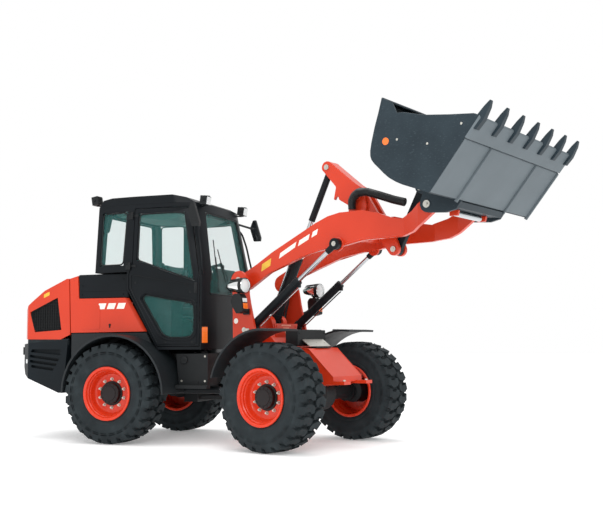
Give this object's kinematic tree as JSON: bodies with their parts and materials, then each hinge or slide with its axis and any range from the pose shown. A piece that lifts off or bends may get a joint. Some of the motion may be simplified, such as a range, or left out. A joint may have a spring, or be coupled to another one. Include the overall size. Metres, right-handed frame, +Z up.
{
  "type": "articulated wheel loader",
  "caption": "Compact articulated wheel loader with an enclosed cab, a rear engine hood and a raised loader arm holding a curled toothed bucket.",
  "frame": {"origin": "the middle of the machine's box at rest, on the ground", "axes": "+X towards the front of the rear frame and the cab, +Z up, +Y to the machine's left"},
  "size_m": [5.6356, 2.6698, 2.924],
  "materials": {
    "tyre_rubber": "matte",
    "rim_orange": "satin",
    "orange_paint": "satin",
    "charcoal_paint": "satin",
    "tinted_glass": "gloss",
    "black_plastic": "matte",
    "bucket_steel": "satin",
    "dark_casting": "matte",
    "seat_fabric": "woven",
    "lamp_silver": "gloss",
    "chrome_rod": "polished",
    "cylinder_black": "satin"
  },
  "bodies": {
    "bellcrank": {"bellcrank": "orange_paint"},
    "bucket": {"bucket": "bucket_steel"},
    "rear_frame": {"cab_frame": "charcoal_paint", "cab_roof": "charcoal_paint", "counterweight": "charcoal_paint", "engine_block": "dark_casting", "engine_cowl": "charcoal_paint", "exhaust_pipe": "dark_casting", "mirror_left": "black_plastic", "mirror_right": "black_plastic", "quarter_glass_left": "tinted_glass", "quarter_glass_right": "tinted_glass", "rear_axle": "dark_casting", "rear_chassis": "charcoal_paint", "rear_fender_left": "black_plastic", "rear_fender_right": "black_plastic", "rear_window": "tinted_glass", "seat": "seat_fabric", "side_panels": "orange_paint", "steering_column": "black_plastic", "step_box_left": "black_plastic", "step_box_right": "black_plastic", "windscreen": "tinted_glass"},
    "door_left": {"door_glass_left": "tinted_glass", "door_left": "charcoal_paint", "door_low_glass_left": "tinted_glass"},
    "door_right": {"door_glass_right": "tinted_glass", "door_low_glass_right": "tinted_glass", "door_right": "charcoal_paint"},
    "engine_hood": {"engine_hood": "orange_paint"},
    "front_frame": {"front_axle": "dark_casting", "front_chassis": "orange_paint", "front_fender_left": "black_plastic", "front_fender_right": "black_plastic", "headlamp_left": "lamp_silver", "headlamp_right": "lamp_silver", "valve_box": "dark_casting"},
    "lift_arm": {"lift_arms": "orange_paint"},
    "lift_barrel_left": {"lift_barrel_left": "cylinder_black"},
    "lift_barrel_right": {"lift_barrel_right": "cylinder_black"},
    "lift_rod_left": {"lift_rod_left": "chrome_rod"},
    "lift_rod_right": {"lift_rod_right": "chrome_rod"},
    "wheel_front_left": {"rim_front_left": "rim_orange", "tyre_front_left": "tyre_rubber"},
    "wheel_front_right": {"rim_front_right": "rim_orange", "tyre_front_right": "tyre_rubber"},
    "wheel_rear_left": {"rim_rear_left": "rim_orange", "tyre_rear_left": "tyre_rubber"},
    "wheel_rear_right": {"rim_rear_right": "rim_orange", "tyre_rear_right": "tyre_rubber"},
    "steer_barrel_left": {"steer_barrel_left": "cylinder_black"},
    "steer_barrel_right": {"steer_barrel_right": "cylinder_black"},
    "steer_rod_left": {"steer_rod_left": "chrome_rod"},
    "steer_rod_right": {"steer_rod_right": "chrome_rod"},
    "tilt_barrel": {"tilt_barrel": "cylinder_black"},
    "tilt_link": {"tilt_link": "charcoal_paint"},
    "tilt_rod": {"tilt_rod": "chrome_rod"},
    "tilt_rod_sleeve": {"tilt_rod_sleeve": "cylinder_black"}
  },
  "joints": [
    {"name": "steer", "type": "hinge", "parent": "rear_frame", "child": "front_frame", "pos_m": [-0.57579, 0.44889, 0], "axis": [0, 0, 1], "range_deg": [-24.3, 55.7]},
    {"name": "lift", "type": "hinge", "parent": "front_frame", "child": "lift_arm", "pos_m": [-0.22922, 0.35147, 1.555], "axis": [-0.2706, -0.9627, 0], "range_deg": [-51, 35]},
    {"name": "tip", "type": "hinge", "parent": "lift_arm", "child": "bucket", "pos_m": [1.75392, -0.20596, 2.105], "axis": [0.2706, 0.9627, 0], "range_deg": [-12, 88]},
    {"name": "bellcrank_turn", "type": "hinge", "parent": "lift_arm", "child": "bellcrank", "pos_m": [0.88558, 0.03812, 2.303], "axis": [-0.2706, -0.9627, 0], "range_deg": [-4.61, 33.84]},
    {"name": "link_turn", "type": "hinge", "parent": "bellcrank", "child": "tilt_link", "pos_m": [1.23407, -0.05984, 1.789], "axis": [0.2706, 0.9627, 0], "range_deg": [-8.01, 58.72]},
    {"name": "tilt_barrel_swing", "type": "hinge", "parent": "front_frame", "child": "tilt_barrel", "pos_m": [-0.13295, 0.32441, 1.15], "axis": [-0.2706, -0.9627, 0], "range_deg": [-41.97, 28.8]},
    {"name": "tilt_rod_travel", "type": "slide", "parent": "tilt_barrel", "child": "tilt_rod", "axis": [0.4165, -0.1171, 0.9016], "range_m": [-0.25938, 0.17801]},
    {"name": "tilt_sleeve_travel", "type": "slide", "parent": "tilt_rod", "child": "tilt_rod_sleeve", "axis": [0.4165, -0.1171, 0.9016], "range_m": [-0.27569, 0.03759]},
    {"name": "lift_barrel_swing_right", "type": "hinge", "parent": "front_frame", "child": "lift_barrel_right", "pos_m": [-0.25257, -0.00137, 1.085], "axis": [-0.2706, -0.9627, 0], "range_deg": [-43.8, 30.06]},
    {"name": "lift_rod_travel_right", "type": "slide", "parent": "lift_barrel_right", "child": "lift_rod_right", "axis": [0.7689, -0.2161, 0.6018], "range_m": [-0.38231, 0.26237]},
    {"name": "steer_barrel_swing_right", "type": "hinge", "parent": "rear_frame", "child": "steer_barrel_right", "pos_m": [-1.07579, 0.04889, 0.505], "axis": [0, 0, 1], "range_deg": [-5.53, 12.67]},
    {"name": "steer_rod_travel_right", "type": "slide", "parent": "steer_barrel_right", "child": "steer_rod_right", "axis": [0.9876, 0.1568, 0], "range_m": [-0.11824, 0.27103]},
    {"name": "lift_barrel_swing_left", "type": "hinge", "parent": "front_frame", "child": "lift_barrel_left", "pos_m": [-0.06532, 0.66481, 1.085], "axis": [-0.2706, -0.9627, 0], "range_deg": [-43.8, 30.06]},
    {"name": "lift_rod_travel_left", "type": "slide", "parent": "lift_barrel_left", "child": "lift_rod_left", "axis": [0.7689, -0.2161, 0.6018], "range_m": [-0.38231, 0.26237]},
    {"name": "steer_barrel_swing_left", "type": "hinge", "parent": "rear_frame", "child": "steer_barrel_left", "pos_m": [-1.07579, 0.84889, 0.505], "axis": [0, 0, 1], "range_deg": [-5.37, 12.31]},
    {"name": "steer_rod_travel_left", "type": "slide", "parent": "steer_barrel_left", "child": "steer_rod_left", "axis": [0.9611, -0.2762, 0], "range_m": [-0.27541, 0.12015]},
    {"name": "open_door_right", "type": "hinge", "parent": "rear_frame", "child": "door_right", "pos_m": [-1.43779, -0.23204, 1.64], "axis": [0, -0.0894, -0.996], "range_deg": [0, 105]},
    {"name": "open_door_left", "type": "hinge", "parent": "rear_frame", "child": "door_left", "pos_m": [-1.43779, 1.12982, 1.64], "axis": [0, -0.0894, 0.996], "range_deg": [0, 105]},
    {"name": "open_hood", "type": "hinge", "parent": "rear_frame", "child": "engine_hood", "pos_m": [-2.18179, 0.44889, 1.632], "axis": [0, 1, 0], "range_deg": [0, 60]},
    {"name": "roll_rear_right", "type": "hinge", "parent": "rear_frame", "child": "wheel_rear_right", "pos_m": [-1.56079, -0.24911, 0.484], "axis": [0, 1, 0], "continuous": true},
    {"name": "roll_rear_left", "type": "hinge", "parent": "rear_frame", "child": "wheel_rear_left", "pos_m": [-1.56079, 1.14689, 0.484], "axis": [0, 1, 0], "continuous": true},
    {"name": "roll_front_right", "type": "hinge", "parent": "front_frame", "child": "wheel_front_right", "pos_m": [0.18358, -0.48961, 0.484], "axis": [0.2706, 0.9627, 0], "continuous": true},
    {"name": "roll_front_left", "type": "hinge", "parent": "front_frame", "child": "wheel_front_left", "pos_m": [0.56134, 0.85431, 0.484], "axis": [0.2706, 0.9627, 0], "continuous": true}
  ],
  "couplings": [
    {"joint": "bellcrank_turn", "follows": "tip", "ratio": 0.3845},
    {"joint": "link_turn", "follows": "tip", "ratio": 0.6673},
    {"joint": "tilt_barrel_swing", "follows": "lift", "ratio": 0.823},
    {"joint": "tilt_rod_travel", "follows": "lift", "m_per_rad": 0.2914},
    {"joint": "tilt_sleeve_travel", "follows": "tip", "m_per_rad": -0.1795},
    {"joint": "lift_barrel_swing_right", "follows": "lift", "ratio": 0.8588},
    {"joint": "lift_rod_travel_right", "follows": "lift", "m_per_rad": 0.4295},
    {"joint": "steer_barrel_swing_right", "follows": "steer", "ratio": 0.2275},
    {"joint": "steer_rod_travel_right", "follows": "steer", "m_per_rad": 0.2788},
    {"joint": "lift_barrel_swing_left", "follows": "lift", "ratio": 0.8588},
    {"joint": "lift_rod_travel_left", "follows": "lift", "m_per_rad": 0.4295},
    {"joint": "steer_barrel_swing_left", "follows": "steer", "ratio": 0.221},
    {"joint": "steer_rod_travel_left", "follows": "steer", "m_per_rad": -0.2833}
  ]
}
